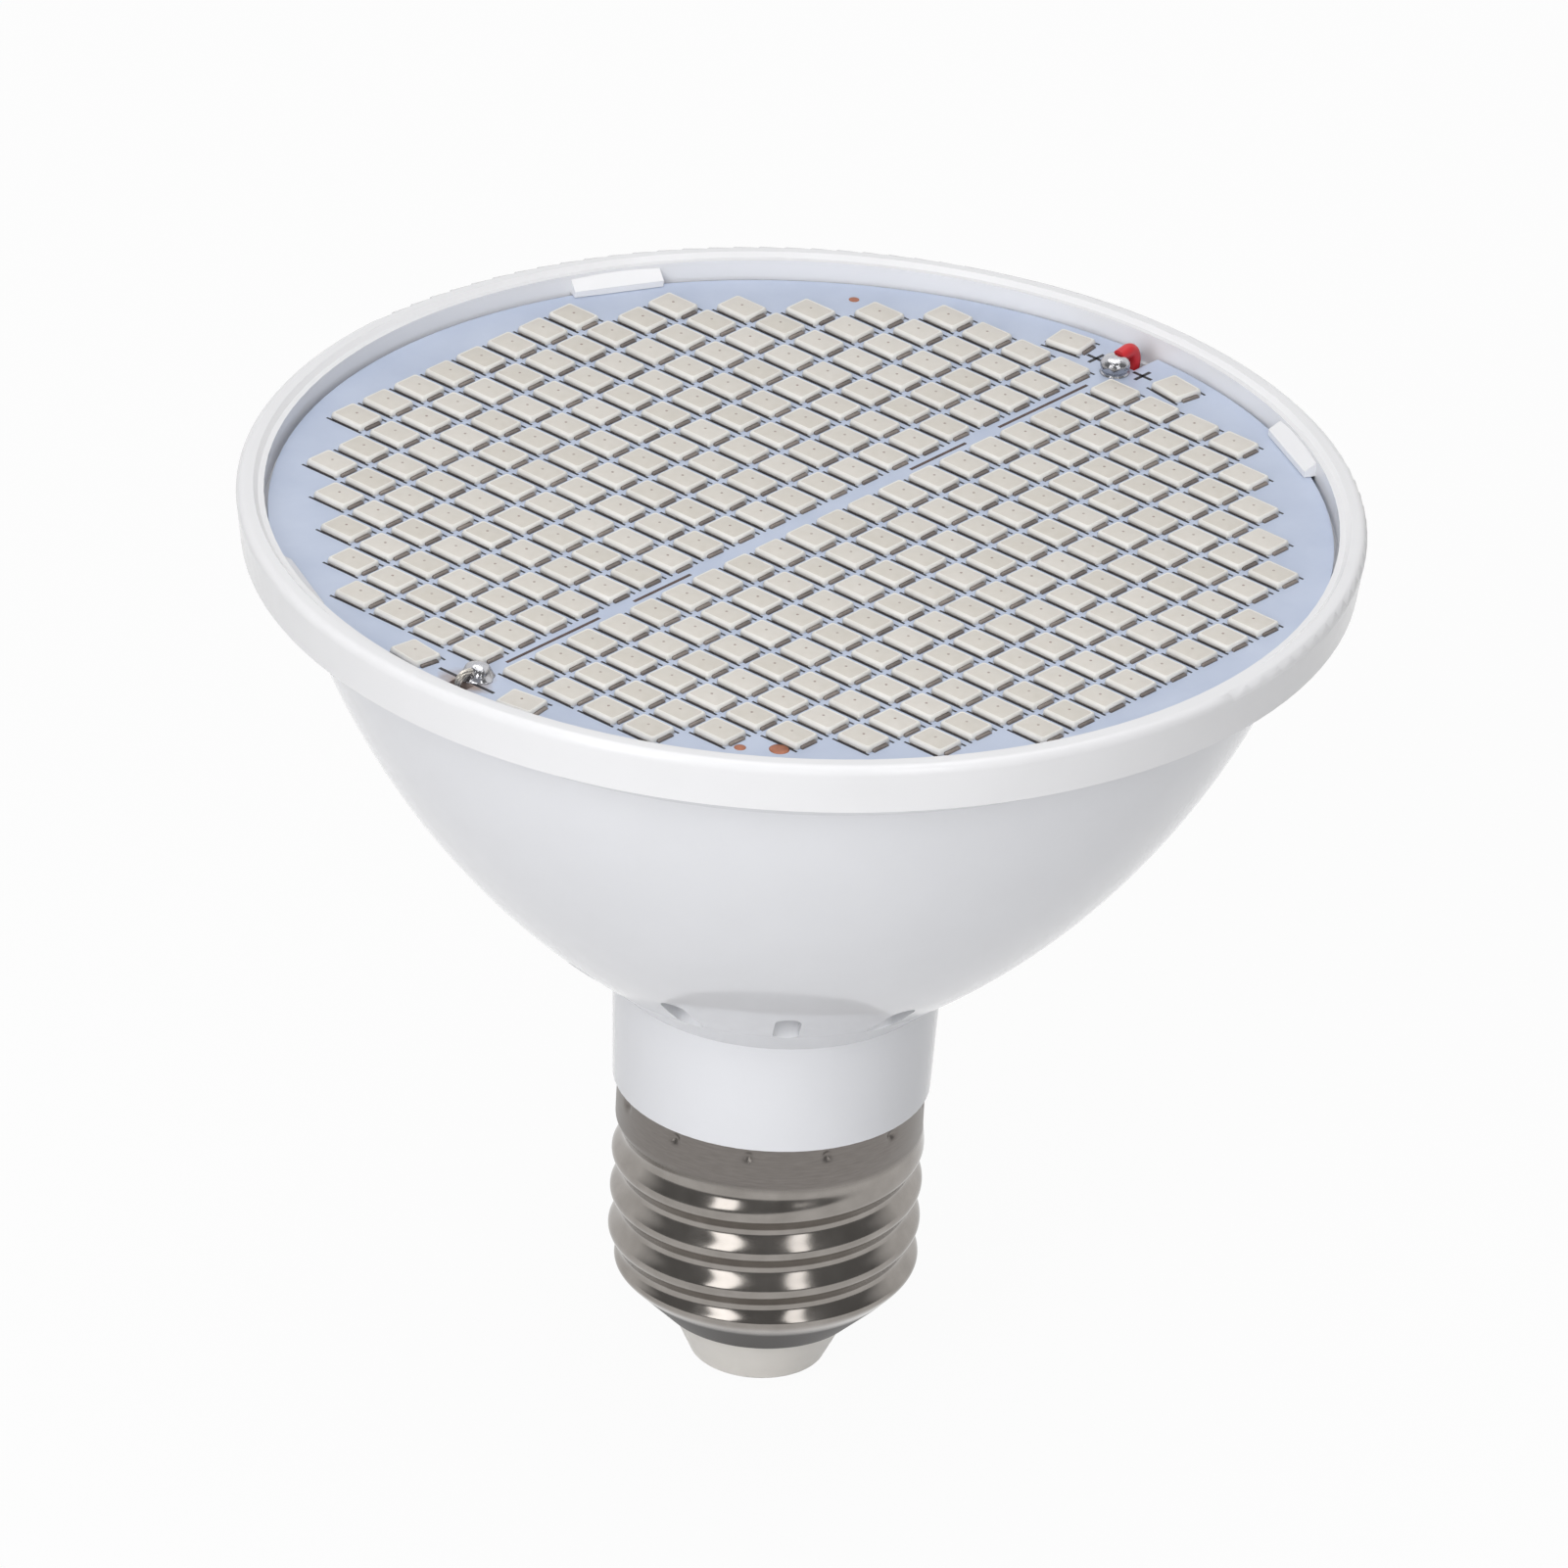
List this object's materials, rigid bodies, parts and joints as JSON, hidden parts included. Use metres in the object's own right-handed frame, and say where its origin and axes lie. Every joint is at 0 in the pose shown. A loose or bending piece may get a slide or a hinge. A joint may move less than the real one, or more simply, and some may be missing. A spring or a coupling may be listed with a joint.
{
  "type": "grow light bulb",
  "caption": "Plant lamp bulb: open round board of small emitters in a white ring, flared plastic bowl and vented neck on a threaded screw cap.",
  "frame": {"origin": "centre of the centre contact's outer face, at the screw cap's tip", "axes": "+Z along the lamp's axis, from the screw cap towards the light board; +X along the board's rows towards its positive solder joint"},
  "size_m": [0.0938, 0.0938, 0.0816],
  "materials": {
    "white_moulding": "satin white moulding",
    "ring_moulding": "satin white moulding",
    "board_mask": "pale blue-white mask on metal core",
    "emitter_body": "cream resin",
    "solder": "bright solder",
    "red_insulation": "satin red sleeve",
    "black_insulation": "satin black sleeve",
    "tinned_wire": "tinned strands",
    "nickel_sheet": "drawn nickel-plated sheet",
    "cap_glaze": "pale insulating cone",
    "contact_metal": "pressed contact",
    "driver_laminate": "green laminate",
    "capacitor_case": "dipped red-brown case",
    "can_sleeve": "dark shrink sleeve",
    "black_package": "black epoxy",
    "resistor_body": "pale blue lacquer"
  },
  "bodies": {
    "root": {"front_ring": "ring_moulding", "housing": "white_moulding", "led_board": "board_mask", "leds": "emitter_body", "positive_solder": "solder", "negative_solder": "solder", "positive_lead": "red_insulation", "negative_lead": "black_insulation", "negative_strands": "tinned_wire", "screw_shell": "nickel_sheet", "cap_insulator": "cap_glaze", "centre_contact": "contact_metal", "driver_board": "driver_laminate", "film_capacitor": "capacitor_case", "smoothing_capacitor": "can_sleeve", "bridge_rectifier": "black_package", "fusible_resistor": "resistor_body", "discharge_resistor": "resistor_body", "bleeder_resistor": "resistor_body", "live_wire": "tinned_wire", "neutral_wire": "tinned_wire"}
  },
  "joints": []
}
